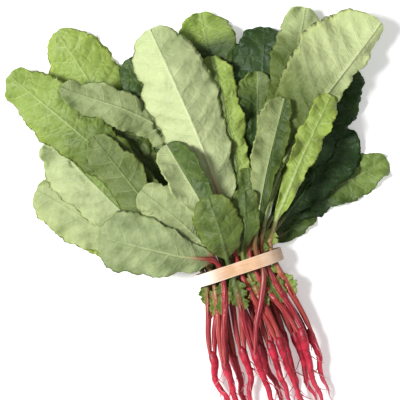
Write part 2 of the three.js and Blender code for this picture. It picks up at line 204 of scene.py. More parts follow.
def leaf_frame(node):
    """A CAD leaf's midrib, margins and midrib radius, section by section, ending at the tip."""
    points, around, caps = corner_net(node)
    foot = min(caps, key=lambda i: points[i][1])
    rings = rings_from(points, around, foot)
    tip = rings.pop()[0]
    centres = [ring.mean(axis=0) for ring in rings]
    middle, left, right, radius = [], [], [], []
    for k, ring in enumerate(rings):
        ahead = centres[min(k + 1, len(rings) - 1)] - centres[max(k - 1, 0)]
        leftwards = np.cross([0, 0, 1], ahead)
        order = ring[np.argsort(-ring @ leftwards)]
        inner = order[MARGIN_CORNERS:-MARGIN_CORNERS]
        middle.append(inner.mean(axis=0))
        left.append(order[:MARGIN_CORNERS].mean(axis=0))
        right.append(order[-MARGIN_CORNERS:].mean(axis=0))
        radius.append(np.linalg.norm(inner - middle[-1], axis=1).max())
    return dict(
        foot=points[foot], middle=np.array(middle), left=np.array(left),
        right=np.array(right), radius=np.array(radius), tip=tip,
    )


def root_frame(node):
    """A CAD root's centreline and radii, from the crown to the tail."""
    points, around, caps = corner_net(node)
    crown = max(caps, key=lambda i: points[i][1])
    rings = rings_from(points, around, crown)
    tail = rings.pop()[0]
    centres = np.array([ring.mean(axis=0) for ring in rings])
    radii = np.array([np.linalg.norm(r - c, axis=1).mean() for r, c in zip(rings, centres)])
    return centres, radii, tail


# ---- Curves ------------------------------------------------------------------------------


def smooth_through(knots, values, at):
    """A smooth curve through values at the increasing knots, read at the places in at."""
    knots, values = np.asarray(knots, float), np.asarray(values, float)
    flat = values.reshape(len(knots), -1)
    slopes = np.gradient(flat, knots, axis=0)
    span = np.clip(np.searchsorted(knots, at) - 1, 0, len(knots) - 2)
    width = knots[span + 1] - knots[span]
    t = ((at - knots[span]) / width)[:, None]
    width = width[:, None]
    start, end = flat[span], flat[span + 1]
    rise, fall = slopes[span] * width, slopes[span + 1] * width
    made = (
        start * (2 * t**3 - 3 * t**2 + 1)
        + rise * (t**3 - 2 * t**2 + t)
        + end * (3 * t**2 - 2 * t**3)
        + fall * (t**3 - t**2)
    )
    return made.reshape((len(at),) + values.shape[1:])


def read_between(places, known, vectors):
    """The vectors kept at the known places, read at other places between them."""
    return np.stack([np.interp(places, known, column) for column in vectors.T], 1)


def distance_along(points):
    steps = np.linalg.norm(np.diff(points, axis=0), axis=1)
    return np.concatenate([[0.0], np.cumsum(steps)])


def unit(vectors):
    return vectors / np.maximum(np.linalg.norm(vectors, axis=-1, keepdims=True), 1e-9)


def ease(value, low, high):
    """0 below low, 1 above high and smooth between them."""
    t = np.clip((value - low) / (high - low), 0.0, 1.0)
    return t * t * (3 - 2 * t)


def waves(place, pitch, seed):
    """Uneven waves between about -1 and 1 along place, of roughly that pitch."""
    turn = np.random.default_rng(seed).uniform(0, 2 * math.pi, 3)
    base = 2 * math.pi * place / pitch
    return (
        0.6 * np.sin(base + turn[0])
        + 0.3 * np.sin(1.7 * base + turn[1])
        + 0.25 * np.sin(0.53 * base + turn[2])
    )


# ---- The margin of a leaf ----------------------------------------------------------------

VEIN_FORWARD = 0.7  # how far a side vein runs forward for each mm outwards
STRAIGHT_VEIN = 2.0  # but it starts straight outwards over this far
MARGIN_STEP = 0.35  # between the points of a margin
TOOTH_PITCH = 4.8
TOOTH_PITCH_SPREAD = 1.6
TEETH_PER_SCALLOP = 2.6
NOTCHES_PER_TOOTH = 2.3
TOOTH_HEIGHT = 0.7
SCALLOP_HEIGHT = 0.9
NOTCH_HEIGHT = 0.4
UNEVENNESS = 1.2  # of the margin as a whole
SMOOTH_WIDTH, TOOTHED_WIDTH = 3.0, 9.0  # half widths where the teeth start and are full
TOOTHLESS_TIP = 10.0  # over which the teeth shrink towards the tip
NARROWEST_HALF = 0.3  # width anywhere on a margin


def bumps(angle):
    """Round bumps, one for each half turn of the angle, with sharp clefts between them."""
    return np.abs(np.sin(angle))


def outline(knots, widths, length, first, seed):
    """One margin of a blade as (along, out) points, with its scallops, teeth and notches."""
    along = np.concatenate([knots[first:], [length], knots[-1:]])
    out = np.concatenate([widths[first:], [0.0], -widths[-1:]])
    points = np.stack([along, out], axis=1)
    at = distance_along(points)
    fine = np.arange(0, at[-2], MARGIN_STEP)
    curve = smooth_through(at, points, fine)
    tangent = unit(np.gradient(curve, axis=0))
    outward = np.stack([-tangent[:, 1], tangent[:, 0]], axis=1)

    pitch = TOOTH_PITCH + TOOTH_PITCH_SPREAD * waves(fine, 34, seed)
    phase = np.cumsum(MARGIN_STEP / pitch)
    tooth = bumps(math.pi * phase) - 0.65
    scallop = bumps(math.pi * phase / TEETH_PER_SCALLOP + seed) - 0.6
    notch = bumps(math.pi * phase * NOTCHES_PER_TOOTH) - 0.6
    tooth *= 0.75 + 0.45 * waves(fine, 21.0, seed + 40)
    notch *= 0.8 + 0.6 * waves(fine, 13.0, seed + 80)
    uneven = UNEVENNESS * waves(fine, 31.0, seed + 60)
    edge = TOOTH_HEIGHT * tooth + SCALLOP_HEIGHT * scallop + NOTCH_HEIGHT * notch + uneven

    size = ease(curve[:, 1], SMOOTH_WIDTH, TOOTHED_WIDTH)
    size = size * (0.75 + 0.5 * ease(fine, 0, 0.6 * at[-2]))
    tipward = 1 - 0.6 * ease(curve[:, 0], length - TOOTHLESS_TIP, length)
    curve += outward * (edge * size * tipward)[:, None]
    curve[:, 1] = np.maximum(curve[:, 1], NARROWEST_HALF)
    return curve


def margin_at(curve, rows):
    """The margin point that the side vein starting at each row of the midrib runs out to."""
    starts = curve[:, 0] - VEIN_FORWARD * np.maximum(curve[:, 1] - STRAIGHT_VEIN, 0)
    starts = np.maximum.accumulate(starts + np.arange(len(starts)) * 1e-6)
    return np.interp(rows, starts, curve[:, 0]), np.interp(rows, starts, curve[:, 1])


# ---- Small lobes on the stalks -----------------------------------------------------------

LOBES_BELOW = (7, 24)  # from the band down to where they grow
LOBES_ABOVE = (8, 13)  # and every third one, this far above it
SHORTEST_LOBED_TOP = 12  # of stalk past the band
LOBE_LENGTHS = (6, 14)
LOBE_WIDTHS = (1.8, 4.2)


def stalk_lobes(count, band, blade_start, seed):
    """Small leafy lobes along a stalk: where, how long, how wide and on which side."""
    draw = np.random.default_rng(seed + 500)
    lobes = []
    for i in range(count):
        above = blade_start - band > SHORTEST_LOBED_TOP and i % 3 == 2
        centre = band + (draw.uniform(*LOBES_ABOVE) if above else -draw.uniform(*LOBES_BELOW))
        side = SIDES[(i + seed) % 2]
        lobes.append((centre, draw.uniform(*LOBE_LENGTHS), draw.uniform(*LOBE_WIDTHS), side))
    return lobes


def lobe_widths(rows, lobes, side, seed):
    """How far the lobes on one side reach out from the stalk at each row."""
    reach = np.zeros(len(rows))
    for centre, length, width, lobe_side in lobes:
        if lobe_side == side:
            bump = np.clip(1 - ((rows - centre) / (length / 2)) ** 2, 0, 1) ** 0.8
            reach = np.maximum(reach, width * bump)
    return reach * (1 + 0.2 * waves(rows, 2.3, seed) + 0.3 * waves(rows, 5.3, seed + 9))


# ---- The surface of a leaf ---------------------------------------------------------------

VEIN_PITCH = 11.0  # between side veins along the midrib
ROWS_PER_VEIN = 13
WING_COLUMNS = 15  # from the midrib to a margin
SPINE_STEP = 0.5  # between the points of the smooth midrib
STALK_ROW = 2.0  # between rows along a stalk
LOBE_ROW = 0.5  # and where a lobe grows on it
LAST_ROW = 0.4  # from the tip
LAST_MARGIN = 0.05  # and how near to the tip its margins end
NARROWEST_BLADE = 0.4  # half a blade's width, over the stalk's radius
BLADE_OPENING = 8.0  # over which a round stalk opens into the flat blade
STALK_SWELLING = 1.45  # a stalk between its crown and the band, over the CAD's
SWOLLEN_FROM = (1.0, 9.0)  # from the foot on, over which the stalk swells
SWOLLEN_TO = (14, 5)  # before the band, over which it shrinks again
LOBE_OPENING = (0.3, 1.5)  # reach of a lobe at which the stalk starts and ends opening
LOBE_LIFT = 0.35  # how much a lobe rises for each mm outwards
CURL_SPAN, CURL_DROP = 10, 3  # a curl of 1 bends the wing down by the drop at the span
BROAD_RUFFLE, BROAD_RUFFLE_PITCH = 1.7, 29.0  # height and pitch of the waves along a margin
FINE_RUFFLE, FINE_RUFFLE_PITCH = 0.7, 11.0
SWELL, SWELL_PITCH = 1.5, 46.0  # of the slow waves of the whole blade
PUCKER = 0.9  # that the blade bulges between two side veins


def leaf_spine(node):
    """A leaf's smooth midrib, read every SPINE_STEP, and the way each wing points from it."""
    cad = leaf_frame(node)
    backbone = np.vstack([cad["foot"], cad["middle"][1:], cad["tip"]])
    knots = distance_along(backbone)
    length, knots = knots[-1], knots[:-1]
    widths = {side: np.linalg.norm(cad[side] - cad["middle"], axis=1) for side in SIDES}
    bare = widths["left"] < 1.1 * cad["radius"]
    first = int(np.argmin(bare)) - 1 if not bare.all() else len(bare) - 2

    places = np.arange(0, length + SPINE_STEP, SPINE_STEP)
    points = smooth_through(np.append(knots, length), backbone, places)
    ahead = unit(np.gradient(points, axis=0))
    band = np.interp(0.0, points[:, 1], places)
    shrinking = [band - before for before in SWOLLEN_TO]
    swelling = ease(places, *SWOLLEN_FROM) * (1 - ease(places, *shrinking))
    radius = np.interp(places, knots, cad["radius"]) * (1 + (STALK_SWELLING - 1) * swelling)
    outward = {}
    for side in SIDES:
        way = unit(cad[side] - cad["middle"])
        outward[side] = unit(smooth_through(knots, way, np.minimum(places, knots[-1])))
    up = {
        "left": unit(np.cross(ahead, outward["left"])),
        "right": unit(np.cross(outward["right"], ahead)),
    }
    return dict(
        knots=knots, widths=widths, length=length, first=first, blade_start=knots[first],
        places=places, points=points, radius=radius, band=band, outward=outward, up=up,
    )


def row_places(spine, lobes):
    """Where along a leaf its rows lie: coarse on the bare stalk, fine on lobes and blade."""
    stalk = np.arange(0, spine["blade_start"] - LOBE_ROW / 2, LOBE_ROW)
    on_lobe = np.zeros(len(stalk), bool)
    for centre, long, _, _ in lobes:
        on_lobe |= np.abs(stalk - centre) < long / 2 + 1
    coarse = np.arange(len(stalk)) % round(STALK_ROW / LOBE_ROW) == 0
    pitch = VEIN_PITCH / ROWS_PER_VEIN
    blade = np.arange(spine["blade_start"], spine["length"] - LAST_ROW, pitch)
    return np.concatenate([stalk[on_lobe | coarse], blade])


def wing_lift(along, across, spread, vein_turn, look, number, side_number):
    """How high each point of a wing stands over the plane of its blade."""
    curl = -look["curl"] * (across / CURL_SPAN) ** 2 * CURL_DROP
    broad = waves(along, BROAD_RUFFLE_PITCH, number * 7 + side_number)
    fine = waves(along, FINE_RUFFLE_PITCH, number * 3 + side_number)
    lift = BROAD_RUFFLE * broad * look["ruffle"] * spread**2
    lift += FINE_RUFFLE * fine * look["ruffle"] * spread**5
    lift += SWELL * waves(along + across * 0.4, SWELL_PITCH, number * 5)
    bulge = np.sin(math.pi * vein_turn)[:, None] ** 2 * np.sqrt(spread) * (1 - spread**4)
    lift += (PUCKER if look["face"] == "upper" else -PUCKER) * bulge
    return curl + lift


def wing(spine, side, rows, lobes, look, number):
    """One half of a leaf's middle surface, in columns from the midrib to the margin."""
    side_number = SIDES.index(side)
    blade_start, length = spine["blade_start"], spine["length"]
    on_stalk = rows < blade_start
    blade_open = ease(rows, blade_start, blade_start + BLADE_OPENING)
    seed = number * 2 + side_number
    curve = outline(spine["knots"], spine["widths"][side], length, spine["first"], seed)
    far, out = margin_at(curve, rows)
    stalk_radius = np.interp(rows, spine["places"], spine["radius"])
    lobed = lobe_widths(rows, lobes, side, number)
    out = np.where(on_stalk, stalk_radius + lobed, np.maximum(out, stalk_radius * NARROWEST_BLADE))
    far = np.where(on_stalk, rows, np.minimum(far, length - LAST_MARGIN))
    opened = np.maximum(blade_open, ease(lobed, *LOBE_OPENING))
    share = np.linspace(0, 1, WING_COLUMNS + 1)
    round_spread = np.sin(share * math.pi / 2)
    spread = (1 - opened)[:, None] * round_spread + opened[:, None] * share**1.45
    across = out[:, None] * spread
    along = rows[:, None] + (far - rows)[:, None] * spread**1.3

    vein_turn = rows / VEIN_PITCH + 0.5 * side_number
    lift = wing_lift(along, across, spread, vein_turn, look, number, side_number)
    lift = lift * blade_open[:, None] * ease(across, 1.0, 6.0)
    beyond = np.maximum(across - stalk_radius[:, None], 0) * (lobed > 0)[:, None]
    lift += (LOBE_LIFT + 0.3 * waves(rows, 4.5, number + side_number)[:, None]) * beyond

    where = along.ravel()
    outward = read_between(where, spine["places"], spine["outward"][side])
    up = read_between(where, spine["places"], spine["up"][side])
    points = read_between(where, spine["places"], spine["points"])
    points += outward * across.ravel()[:, None]
    points += up * lift.ravel()[:, None]
    return dict(
        points=points.reshape(along.shape + (3,)), along=along, across=across, share=spread,
        turn=np.broadcast_to(vein_turn[:, None], along.shape),
        opened=np.broadcast_to(opened[:, None], along.shape),
    )


def leaf_surface(node, look, number):
    """The leaf's middle surface as rows of points, with what the materials need on it."""
    spine = leaf_spine(node)
    count = look.get("lobes", 0)
    lobes = stalk_lobes(count, spine["band"], spine["blade_start"], number)
    rows = row_places(spine, lobes)
    left, right = (wing(spine, side, rows, lobes, look, number) for side in SIDES)
    left["across"] = -left["across"]
    leaf = {
        key: np.concatenate([left[key][:, ::-1], right[key][:, 1:]], axis=1) for key in left
    }
    leaf.update(
        node=node, look=look, number=number, rows=rows, blade_start=spine["blade_start"],
        length=spine["length"], band=spine["band"],
        radius=np.interp(rows, spine["places"], spine["radius"]),
    )
    return leaf


def surface_normals(points):
    """Upward normals of a grid of points, rows along the leaf and columns left to right."""
    along_rows = np.gradient(points, axis=0)
    over = np.gradient(points, axis=1)
    return unit(np.cross(over, along_rows))


# ---- How the leaves lie on one another ---------------------------------------------------

CEILING_CELL = 1.25
CEILING_BORDER = 6  # cells round the CAD box
LEAF_GAP = 0.55  # kept between the middle surfaces of two leaves
TABLE_GAP = 0.4
PRESSED_FROM = 10  # past the start of the blade, where a leaf can be pressed fully


def press_under(leaves):
    """Presses each leaf under those that lie above it, from the top of the pile down."""
    low, high = (np.array(corner) / MM for corner in CAD_BOX)
    size = np.ceil((high - low)[:2] / CEILING_CELL).astype(int) + 2 * CEILING_BORDER
    ceiling = np.full(size, high[2])
    for leaf in leaves:
        points = leaf["points"]
        cell = ((points[..., :2] - low[:2]) / CEILING_CELL).astype(int) + CEILING_BORDER
        cell = np.clip(cell, 1, size - 2)
        x, y = cell[..., 0], cell[..., 1]
        room = ceiling[x, y] - LEAF_GAP
        start = leaf["blade_start"]
        free = ease(leaf["rows"][:, None], start, start + PRESSED_FROM)
        pressed = np.minimum(points[..., 2], room)
        points[..., 2] += (pressed - points[..., 2]) * free
        points[..., 2] = np.maximum(points[..., 2], TABLE_GAP)
        for dx in (-1, 0, 1):
            for dy in (-1, 0, 1):
                np.minimum.at(ceiling, (x + dx, y + dy), points[..., 2])


# ---- Meshes ------------------------------------------------------------------------------


def build_mesh(name, points, faces, materials, face_material=None):
    mesh = bpy.data.meshes.new(name)
    mesh.from_pydata((points * MM).tolist(), [], faces)
    for material in materials:
        mesh.materials.append(material)
    if face_material is not None:
        mesh.polygons.foreach_set("material_index", np.asarray(face_material, np.int32))
    mesh.polygons.foreach_set("use_smooth", np.ones(len(mesh.polygons), bool))
    mesh.update()
    piece = bpy.data.objects.new(name, mesh)
    bpy.context.scene.collection.objects.link(piece)
    return piece


def tube_faces(rows, columns):
    """The quads of a closed tube of rows sections with columns corners, with both ends shut."""
    j, c = np.meshgrid(np.arange(rows - 1), np.arange(columns), indexing="ij")
    after = (c + 1) % columns
    quads = np.stack([
        j * columns + c,
        j * columns + after,
        (j + 1) * columns + after,
        (j + 1) * columns + c,
    ], axis=-1).reshape(-1, 4).tolist()
    start = list(range(columns))[::-1]
    end = list(range((rows - 1) * columns, rows * columns))
    return quads + [start, end]


def ring_faces(rows, columns):
    """The quads of a tube whose last section joins its first."""
    j, c = np.meshgrid(np.arange(rows), np.arange(columns), indexing="ij")
    next_row, next_column = (j + 1) % rows, (c + 1) % columns
    return np.stack([
        j * columns + c,
        next_row * columns + c,
        next_row * columns + next_column,
        j * columns + next_column,
    ], axis=-1).reshape(-1, 4).tolist()


def add_attribute(mesh, name, *columns):
    """Up to three numbers for every corner of the mesh, for a material to read."""
    values = np.zeros((len(mesh.vertices), 3), np.float32)
    for i, column in enumerate(columns):
        values[:, i] = np.ravel(column)
    made = mesh.attributes.new(name, "FLOAT_VECTOR", "POINT")
    made.data.foreach_set("vector", values.ravel())


# ---- Leaves ------------------------------------------------------------------------------

BLADE_HALF_THICK = 0.17
THINNEST_HALF = 0.05  # anywhere inside a margin
RIB_UNDER, RIB_UPPER = 0.85, 0.35  # how far the midrib stands out, as a share of its radius
RIB_WIDTH = 0.8
VEIN_RIDGE, VEIN_GROOVE = 0.4, 0.1  # of a side vein, on the lower and on the upper face
VEIN_WIDTH = 0.7
TABLE_CLEARANCE = 0.08
USUAL_RED_REACH = 45.0  # past the band, where the last red leaves the midrib
USUAL_TIP_FROM = 0.6
TIP_SPAN = 0.35  # share of the leaf over which the tip's tone comes in
LOBE_TONE = -0.35
LOBE_YELLOW = 0.2
STALK_TONE_SPREAD = 0.35  # between one leaf's stalk and another's


def half_thickness(leaf, is_under):
    """How far a face stands off the middle surface: the stalk, midrib and side veins."""
    across = np.abs(leaf["across"])
    radius = leaf["radius"][:, None]
    opened = leaf["opened"]
    round_stalk = radius * np.sqrt(np.maximum(1 - (across / radius) ** 2, 0))
    rib_height = np.where(is_under, RIB_UNDER, RIB_UPPER) * radius
    rib = rib_height * np.exp(-(across / (RIB_WIDTH * radius)) ** 2)
    turn = leaf["turn"]
    to_vein = np.abs(turn - np.round(turn)) * VEIN_PITCH
    vein = np.exp(-(to_vein / VEIN_WIDTH) ** 2) * (1 - leaf["share"]) ** 0.7
    vein = vein * np.where(is_under, VEIN_RIDGE, -VEIN_GROOVE)
    blade = BLADE_HALF_THICK + rib + vein * ease(across, 0.5, 2.0)
    made = np.maximum((1 - opened) * round_stalk + opened * blade, THINNEST_HALF)
    made[:, 0] = 0
    made[:, -1] = 0
    return made


def redness(leaf):
    """How red the skin is: full at the foot, fading through the band and up the midrib."""
    along, band = leaf["along"], leaf["band"]
    look = leaf["look"]
    below = 1 - (1 - look["red"]) * ease(along, 0.15 * band, band)
    above = 1 - ease(along, band, band + look.get("red_reach", USUAL_RED_REACH))
    on_rib = 1 - ease(np.abs(leaf["across"]) / leaf["radius"][:, None], 0.6, 1.5)
    on_rib = on_rib * leaf["opened"] + 1 - leaf["opened"]
    return below * above * on_rib


def tone_and_painted_light_of(leaf):
    """How bright each place of the leaf is: on the blade its own green with painted light and
    shade, on the stalk a tone that differs from stalk to stalk.
    """
    look = leaf["look"]
    tip_from = look.get("tip_from", USUAL_TIP_FROM)
    share = leaf["along"] / leaf["length"]
    # Painted light and shade: the tip and the right half are drawn brighter or darker by how the
    # light falls on them, over the leaf's own tone.
    tone_and_painted_light = look["tone_and_painted_light"] + look.get("tip_painted_light", 0.0) * ease(
        share, tip_from, min(tip_from + TIP_SPAN, 1.0)
    )
    tone_and_painted_light += look.get("right_painted_light", 0.0) * ease(leaf["across"], 0.0, 2.0)
    on_stalk = leaf["rows"][:, None] < leaf["blade_start"]
    stalk_tone = LOBE_TONE + STALK_TONE_SPREAD * waves(leaf["number"], 2.7, 5)
    return np.where(on_stalk, stalk_tone, tone_and_painted_light)


def yellow_of(leaf):
    """How yellow each place of the leaf is, most of all along its margins."""
    edge = leaf["share"] * leaf["opened"]
    on_stalk = leaf["rows"][:, None] < leaf["blade_start"]
    yellow = leaf["look"]["yellow"] * (0.35 + 0.65 * edge**3)
    return np.where(on_stalk, LOBE_YELLOW, yellow)


def leaf_piece(leaf, materials):
    """A closed leaf: its upper side, then its lower side back from right to left."""
    look = leaf["look"]
    right_face = look.get("right_face", look["face"])
    top_under = np.where(leaf["across"] > 0, right_face == "under", look["face"] == "under")
    normals = surface_normals(leaf["points"])
    top = leaf["points"] + normals * half_thickness(leaf, top_under)[..., None]
    bottom = leaf["points"] - normals * half_thickness(leaf, ~top_under)[..., None]
    inner = slice(-2, 0, -1)
    points = np.concatenate([top, bottom[:, inner]], axis=1)
    points[..., 2] = np.maximum(points[..., 2], TABLE_CLEARANCE)
    rows, columns = points.shape[:2]
    under_row = np.concatenate([top_under[0, 1:], ~top_under[0, 1:][::-1]])
    on_blade = leaf["rows"][:-1] > leaf["blade_start"] - 1
    end_faces = [0, 0]
    face_material = np.append((on_blade[:, None] & under_row).ravel(), end_faces)
    name = leaf["node"] + "_grown"
    faces = tube_faces(rows, columns)
    piece = build_mesh(name, points.reshape(-1, 3), faces, materials, face_material)

    def both(table):
        return np.concatenate([table, table[:, inner]], axis=1)

    turn, across, along = both(leaf["turn"]), both(leaf["across"]), both(leaf["along"])
    opened = both(leaf["opened"])
    edge = both(leaf["share"]) * opened
    colours_and_shade = both(redness(leaf)), both(tone_and_painted_light_of(leaf)), both(yellow_of(leaf))
    add_attribute(piece.data, "leaf_lay", turn, across / MM_PER_CM, along / MM_PER_CM)
    add_attribute(piece.data, "leaf_span", along / leaf["length"], edge, opened)
    add_attribute(piece.data, "leaf_colour_and_shade", *colours_and_shade)
    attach(piece, "root")
    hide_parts(leaf["node"])


# ---- Roots -------------------------------------------------------------------------------

ROOT_SIDES = 20
ROOT_ROW = 0.8  # between the sections of a root
NECK_LENGTH = 4.5  # of the crown's neck, which closes round the feet of the stalks
NECK_TAPER = 0.66
CROWN_DOME = 3.0  # of the neck that is rounded off
CROWN_START = 0.05  # into the dome, so that its first section is not a point
BENT_FROM, BENT_FULLY = 0.15, 0.6  # share of the root over which it starts to wander
BEND_SIDEWAYS, BEND_UP = 0.7, 0.4
TAIL_THINNING = 0.65  # over the last quarter, besides the CAD's own
ROOT_SWELL, ROOT_LUMPS, ROOT_CREASES = 0.045, 0.05, 0.05  # as shares of the radius
ROOT_FLOOR = 0.05  # above the table

ROOTLETS = 9  # on each root
ROOTLET_PLACES = (0.12, 0.92)  # along the root
ROOTLET_LENGTHS = (4, 17)
ROOTLET_BEND = 0.45
ROOTLET_POINTS = 20
ROOTLET_SIDES = 6
ROOTLET_RADIUS, ROOTLET_END = 0.3, 0.07
ROOTLET_FLOOR = 0.3


def tube_points(path, radii, sides):
    """Rings of points round a path, one radius for each point of it or one for each corner."""
    ahead = unit(np.gradient(path, axis=0))
    side = unit(np.cross([0, 0, 1], ahead))
    up = np.cross(ahead, side)
    turn = np.arange(sides) * 2 * math.pi / sides
    ring = np.cos(turn)[:, None] * side[:, None] + np.sin(turn)[:, None] * up[:, None]
    radii = radii[:, None] if radii.ndim == 1 else radii
    return path[:, None] + ring * radii[..., None]


def rootlet(path, radii, at, seed):
    """A fine side root that leaves the root and trails towards its tail."""
    draw = np.random.default_rng(seed)
    ahead = unit(path[min(at + 2, len(path) - 1)] - path[at - 1])
    angle = draw.uniform(0, 2 * math.pi)
    side = unit(np.cross([0, 0, 1], ahead))
    out = math.cos(angle) * side + math.sin(angle) * np.cross(ahead, side)
    length = draw.uniform(*ROOTLET_LENGTHS)
    t = np.linspace(0, 1, ROOTLET_POINTS)
    bend = draw.uniform(-ROOTLET_BEND, ROOTLET_BEND)
    curl = 0.7 * waves(t * length, 8.0, seed) * t
    line = path[at] + (
        np.outer(t * length * 0.7, ahead)
        + np.outer(radii[at] * 0.6 + length * 0.42 * t**0.7, out)
        + np.outer(bend * length * t**2 + curl, side)
    )
    line[:, 2] = np.maximum(line[:, 2], ROOTLET_FLOOR)
    return tube_points(line, ROOTLET_RADIUS * (1 - t) ** 0.8 + ROOTLET_END, ROOTLET_SIDES)


def root_piece(node, material, number):
    """A closed root from the neck of its crown to its tail, with its fine side roots."""
    centres, radii, tail = root_frame(node)
    neck = centres[0] + unit(centres[0] - centres[1]) * NECK_LENGTH
    backbone = np.vstack([neck, centres, tail])
    radii = np.append(radii[0] * NECK_TAPER, radii)
    knots = distance_along(backbone)
    at = np.arange(0, knots[-1], ROOT_ROW)
    path = smooth_through(knots, backbone, at)
    share = at / knots[-1]
    bent = ease(share, BENT_FROM, BENT_FULLY)
    path[:, 0] += BEND_SIDEWAYS * waves(at, 19.0, number) * bent
    path[:, 2] += BEND_UP * waves(at, 23.0, number + 50) * bent

    radius = np.interp(at, knots[:-1], radii) * (1 - TAIL_THINNING * ease(share, 0.75, 1.0))
    radius *= 1 + ROOT_SWELL * waves(at, 6.5, number + 20)
    crown = np.sqrt(1 - np.clip(1 - (at + CROWN_START) / CROWN_DOME, 0, 1) ** 2)
    turn = np.arange(ROOT_SIDES) * 2 * math.pi / ROOT_SIDES
    lumps = 1 + ROOT_LUMPS * np.sin(3 * turn[None, :] + at[:, None] / 5 + number)
    creases = 1 - ROOT_CREASES * np.abs(waves(at, 2.6, number + 70)) ** 4
    rings = tube_points(path, (radius * crown * creases)[:, None] * lumps, ROOT_SIDES)
    rings[..., 2] = np.maximum(rings[..., 2], ROOT_FLOOR)

    faces = tube_faces(len(at), ROOT_SIDES)
    points = rings.reshape(-1, 3)
    along = np.repeat(share, ROOT_SIDES)
    draw = np.random.default_rng(number + 300)
    for i in range(ROOTLETS):
        start = int(draw.uniform(*ROOTLET_PLACES) * len(at))
        hair = rootlet(path, radius, start, number * 31 + i)
        hair_faces = tube_faces(ROOTLET_POINTS, ROOTLET_SIDES)
        faces += [[v + len(points) for v in face] for face in hair_faces]
        points = np.vstack([points, hair.reshape(-1, 3)])
        hair_along = 1.0 + np.linspace(0, 1, ROOTLET_POINTS)
        along = np.append(along, np.repeat(hair_along, ROOTLET_SIDES))
    piece = build_mesh(node + "_grown", points, faces, [material])
    add_attribute(piece.data, "root_marks", along)
    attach(piece, "root")
    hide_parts(node)


# ---- The band ----------------------------------------------------------------------------

BAND_THICK = 1.2
BAND_STEPS = 220  # round its lap
BAND_CORNER = 0.38  # radius of the corners of its section
CORNER_POINTS = 5
BAND_SAG, BAND_WAVE = 0.15, 0.12  # of its upper side
WIDTH_WAVE = 0.02  # as a share of its width


def band_lap(low, high):
    """Distances round the band, with the point there and the way out from it."""
    radius = (high[2] - low[2]) / 2 - BAND_THICK / 2
    flat = (high[0] - low[0]) / 2 - (high[2] - low[2]) / 2
    height = (high[2] + low[2]) / 2
    lap = 4 * flat + 2 * math.pi * radius
    at = np.arange(BAND_STEPS) * lap / BAND_STEPS
    path, outward = [], []
    for place in at:
        half, rest = divmod(place, lap / 2)
        sign = 1 if half == 0 else -1
        if rest < 2 * flat:
            path.append([sign * (rest - flat), 0, height - sign * radius])
            outward.append([0, 0, -sign])
        else:
            turn = (rest - 2 * flat) / radius - math.pi / 2
            out = [sign * math.cos(turn), 0, sign * math.sin(turn)]
            path.append([sign * flat + radius * out[0], 0, height + radius * out[2]])
            outward.append(out)
    path, outward = np.array(path), np.array(outward)
    top = ease(path[:, 2], height, high[2] - 2)
    path[:, 2] += BAND_WAVE * waves(path[:, 0], 9.0, 3) * top - BAND_SAG * top
    return at, path, outward


def band_section(half_width):
    """The band's section as (across, out) points, with rounded corners."""
    points = []
    for quarter, (side, face) in enumerate(((1, 1), (-1, 1), (-1, -1), (1, -1))):
        for step in range(CORNER_POINTS):
            angle = math.radians(90 * (quarter + step / (CORNER_POINTS - 1)))
            points.append([
                side * (half_width - BAND_CORNER) + BAND_CORNER * math.cos(angle),
                face * (BAND_THICK / 2 - BAND_CORNER) + BAND_CORNER * math.sin(angle),
            ])
    return np.array(points)


def band_piece(material):
    """The flat band: a rounded strip swept round the CAD band's own outline."""
    low, high = (np.array(corner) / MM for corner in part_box("rubber_band"))
    at, path, outward = band_lap(low, high)
    section = band_section((high[1] - low[1]) / 2)
    width = 1 + WIDTH_WAVE * waves(at, 30.0, 4)
    points = path[:, None] + outward[:, None] * section[None, :, 1:2]
    points[..., 1] += section[None, :, 0] * width[:, None]
    rows, columns = points.shape[:2]
    faces = ring_faces(rows, columns)
    piece = build_mesh("rubber_band_strip", points.reshape(-1, 3), faces, [material])
    along, over = np.repeat(at, columns), np.tile(section[:, 0], rows)
    add_attribute(piece.data, "band_marks", along / MM_PER_CM, over / MM_PER_CM)
    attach(piece, "root")
    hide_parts("rubber_band")


# ---- Materials ---------------------------------------------------------------------------


